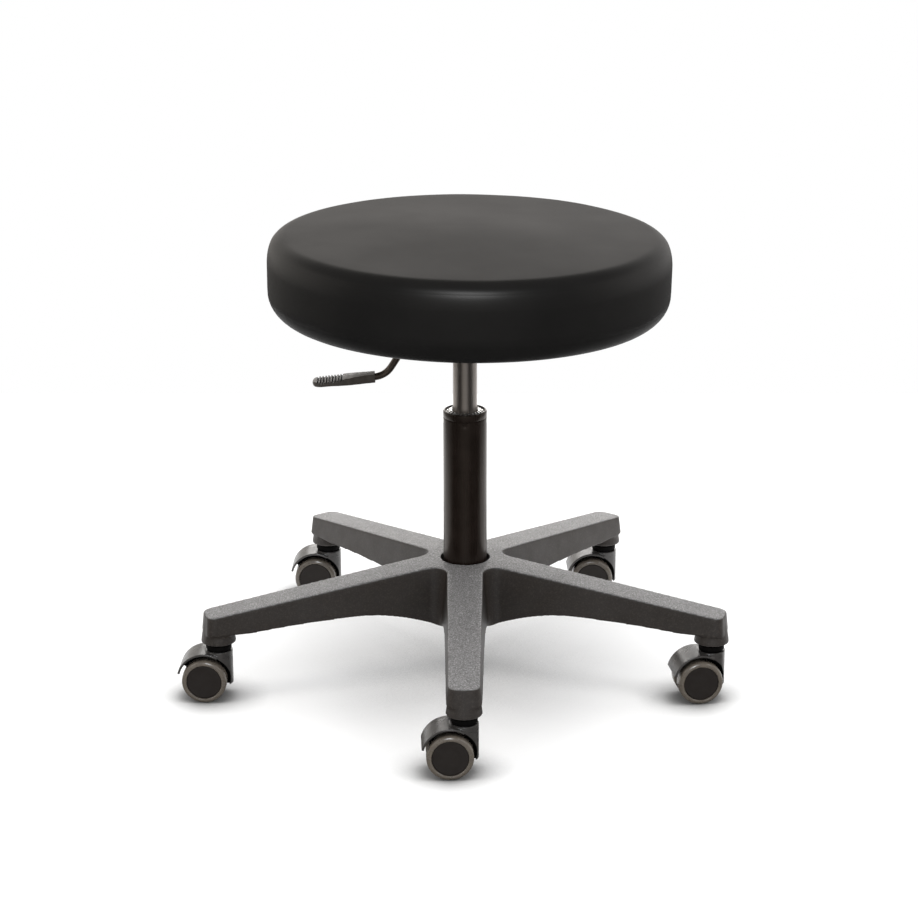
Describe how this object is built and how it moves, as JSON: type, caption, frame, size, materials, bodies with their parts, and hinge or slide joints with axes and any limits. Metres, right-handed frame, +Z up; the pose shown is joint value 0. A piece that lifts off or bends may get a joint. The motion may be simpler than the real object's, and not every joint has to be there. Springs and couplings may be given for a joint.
{
  "type": "swivel stool",
  "caption": "Backless round stool with a padded seat that turns and is raised or lowered by a gas spring, on a star base with twin-wheel casters.",
  "frame": {"origin": "on the floor, on the column's axis, under the centre of the seat", "axes": "+Z up along the column; the front arm of the base points to -Y and the lever to -X"},
  "size_m": [0.6253, 0.5772, 0.525],
  "materials": {
    "base_nylon": "matte",
    "seat_vinyl": "satin",
    "cover_cloth": "matte",
    "board_plywood": "matte",
    "column_paint": "satin",
    "plate_paint": "satin",
    "bushing_acetal": "gloss",
    "bearing_steel": "polished",
    "cylinder_steel": "satin",
    "seal_rubber": "matte",
    "lever_steel": "satin",
    "handle_plastic": "satin",
    "fastener_zinc": "satin",
    "caster_plastic": "satin",
    "wheel_plastic": "matte",
    "wheel_tread": "satin"
  },
  "bodies": {
    "base": {"base": "base_nylon", "caster_1_stem": "fastener_zinc", "caster_2_stem": "fastener_zinc", "caster_3_stem": "fastener_zinc", "caster_4_stem": "fastener_zinc", "caster_5_stem": "fastener_zinc", "outer_tube": "column_paint", "guide_bushing": "bushing_acetal", "thrust_washer_lower": "bearing_steel", "thrust_ball_cage": "bearing_steel"},
    "spindle": {"thrust_washer_upper": "bearing_steel", "rod_clip": "bearing_steel", "piston_rod": "bearing_steel", "piston": "bearing_steel", "bump_stop": "seal_rubber"},
    "seat": {"rod_seal_guide": "seal_rubber", "pressure_cylinder": "cylinder_steel", "taper_socket": "plate_paint", "mounting_plate": "plate_paint", "seat_board": "board_plywood", "underside_cover": "cover_cloth", "seat_cushion": "seat_vinyl", "seat_bolt_1": "fastener_zinc", "seat_bolt_2": "fastener_zinc", "seat_bolt_3": "fastener_zinc", "seat_bolt_4": "fastener_zinc", "lever_pivot": "fastener_zinc"},
    "valve": {"valve_pin": "bushing_acetal"},
    "lever": {"lever_rod": "lever_steel", "lever_handle": "handle_plastic"},
    "caster_1": {"caster_1_housing": "caster_plastic", "caster_1_axle": "fastener_zinc"},
    "caster_1_left_wheel": {"caster_1_left_hub": "wheel_plastic", "caster_1_left_tread": "wheel_tread"},
    "caster_1_right_wheel": {"caster_1_right_hub": "wheel_plastic", "caster_1_right_tread": "wheel_tread"},
    "caster_2": {"caster_2_housing": "caster_plastic", "caster_2_axle": "fastener_zinc"},
    "caster_2_left_wheel": {"caster_2_left_hub": "wheel_plastic", "caster_2_left_tread": "wheel_tread"},
    "caster_2_right_wheel": {"caster_2_right_hub": "wheel_plastic", "caster_2_right_tread": "wheel_tread"},
    "caster_3": {"caster_3_housing": "caster_plastic", "caster_3_axle": "fastener_zinc"},
    "caster_3_left_wheel": {"caster_3_left_hub": "wheel_plastic", "caster_3_left_tread": "wheel_tread"},
    "caster_3_right_wheel": {"caster_3_right_hub": "wheel_plastic", "caster_3_right_tread": "wheel_tread"},
    "caster_4": {"caster_4_housing": "caster_plastic", "caster_4_axle": "fastener_zinc"},
    "caster_4_left_wheel": {"caster_4_left_hub": "wheel_plastic", "caster_4_left_tread": "wheel_tread"},
    "caster_4_right_wheel": {"caster_4_right_hub": "wheel_plastic", "caster_4_right_tread": "wheel_tread"},
    "caster_5": {"caster_5_housing": "caster_plastic", "caster_5_axle": "fastener_zinc"},
    "caster_5_left_wheel": {"caster_5_left_hub": "wheel_plastic", "caster_5_left_tread": "wheel_tread"},
    "caster_5_right_wheel": {"caster_5_right_hub": "wheel_plastic", "caster_5_right_tread": "wheel_tread"}
  },
  "joints": [
    {"name": "seat_swivel", "type": "hinge", "parent": "base", "child": "spindle", "pos_m": [0, 0, 0.07], "axis": [0, 0, 1], "continuous": true},
    {"name": "seat_height", "type": "slide", "parent": "spindle", "child": "seat", "axis": [0, 0, 1], "range_m": [0, 0.14]},
    {"name": "lever_pull", "type": "hinge", "parent": "seat", "child": "lever", "pos_m": [-0.042, 0, 0.4155], "axis": [0, 1, 0], "range_deg": [0, 6], "stiffness_Nm_per_rad": 2, "springref_deg": -2.86},
    {"name": "valve_press", "type": "slide", "parent": "seat", "child": "valve", "axis": [0, 0, -1], "range_m": [0, 0.005]},
    {"name": "caster_1_swivel", "type": "hinge", "parent": "base", "child": "caster_1", "pos_m": [0, -0.2936, 0.06], "axis": [0, 0, 1], "continuous": true},
    {"name": "caster_1_left_spin", "type": "hinge", "parent": "caster_1", "child": "caster_1_left_wheel", "pos_m": [-0.01549, -0.29428, 0.0254], "axis": [-0.0436, 0.999, 0], "continuous": true},
    {"name": "caster_1_right_spin", "type": "hinge", "parent": "caster_1", "child": "caster_1_right_wheel", "pos_m": [-0.01549, -0.29428, 0.0254], "axis": [-0.0436, 0.999, 0], "continuous": true},
    {"name": "caster_2_swivel", "type": "hinge", "parent": "base", "child": "caster_2", "pos_m": [0.27923, -0.09073, 0.06], "axis": [0, 0, 1], "continuous": true},
    {"name": "caster_2_left_spin", "type": "hinge", "parent": "caster_2", "child": "caster_2_left_wheel", "pos_m": [0.26392, -0.09315, 0.0254], "axis": [-0.1564, 0.9877, 0], "continuous": true},
    {"name": "caster_2_right_spin", "type": "hinge", "parent": "caster_2", "child": "caster_2_right_wheel", "pos_m": [0.26392, -0.09315, 0.0254], "axis": [-0.1564, 0.9877, 0], "continuous": true},
    {"name": "caster_3_swivel", "type": "hinge", "parent": "base", "child": "caster_3", "pos_m": [0.17257, 0.23753, 0.06], "axis": [0, 0, 1], "continuous": true},
    {"name": "caster_3_left_spin", "type": "hinge", "parent": "caster_3", "child": "caster_3_left_wheel", "pos_m": [0.15708, 0.23699, 0.0254], "axis": [-0.0349, 0.9994, 0], "continuous": true},
    {"name": "caster_3_right_spin", "type": "hinge", "parent": "caster_3", "child": "caster_3_right_wheel", "pos_m": [0.15708, 0.23699, 0.0254], "axis": [-0.0349, 0.9994, 0], "continuous": true},
    {"name": "caster_4_swivel", "type": "hinge", "parent": "base", "child": "caster_4", "pos_m": [-0.17257, 0.23753, 0.06], "axis": [0, 0, 1], "continuous": true},
    {"name": "caster_4_left_spin", "type": "hinge", "parent": "caster_4", "child": "caster_4_left_wheel", "pos_m": [-0.18807, 0.2378, 0.0254], "axis": [0.0175, 0.9998, 0], "continuous": true},
    {"name": "caster_4_right_spin", "type": "hinge", "parent": "caster_4", "child": "caster_4_right_wheel", "pos_m": [-0.18807, 0.2378, 0.0254], "axis": [0.0175, 0.9998, 0], "continuous": true},
    {"name": "caster_5_swivel", "type": "hinge", "parent": "base", "child": "caster_5", "pos_m": [-0.27923, -0.09073, 0.06], "axis": [0, 0, 1], "continuous": true},
    {"name": "caster_5_left_spin", "type": "hinge", "parent": "caster_5", "child": "caster_5_left_wheel", "pos_m": [-0.29472, -0.09019, 0.0254], "axis": [0.0349, 0.9994, 0], "continuous": true},
    {"name": "caster_5_right_spin", "type": "hinge", "parent": "caster_5", "child": "caster_5_right_wheel", "pos_m": [-0.29472, -0.09019, 0.0254], "axis": [0.0349, 0.9994, 0], "continuous": true}
  ],
  "couplings": [
    {"joint": "valve_press", "follows": "lever_pull", "m_per_rad": 0.042}
  ]
}
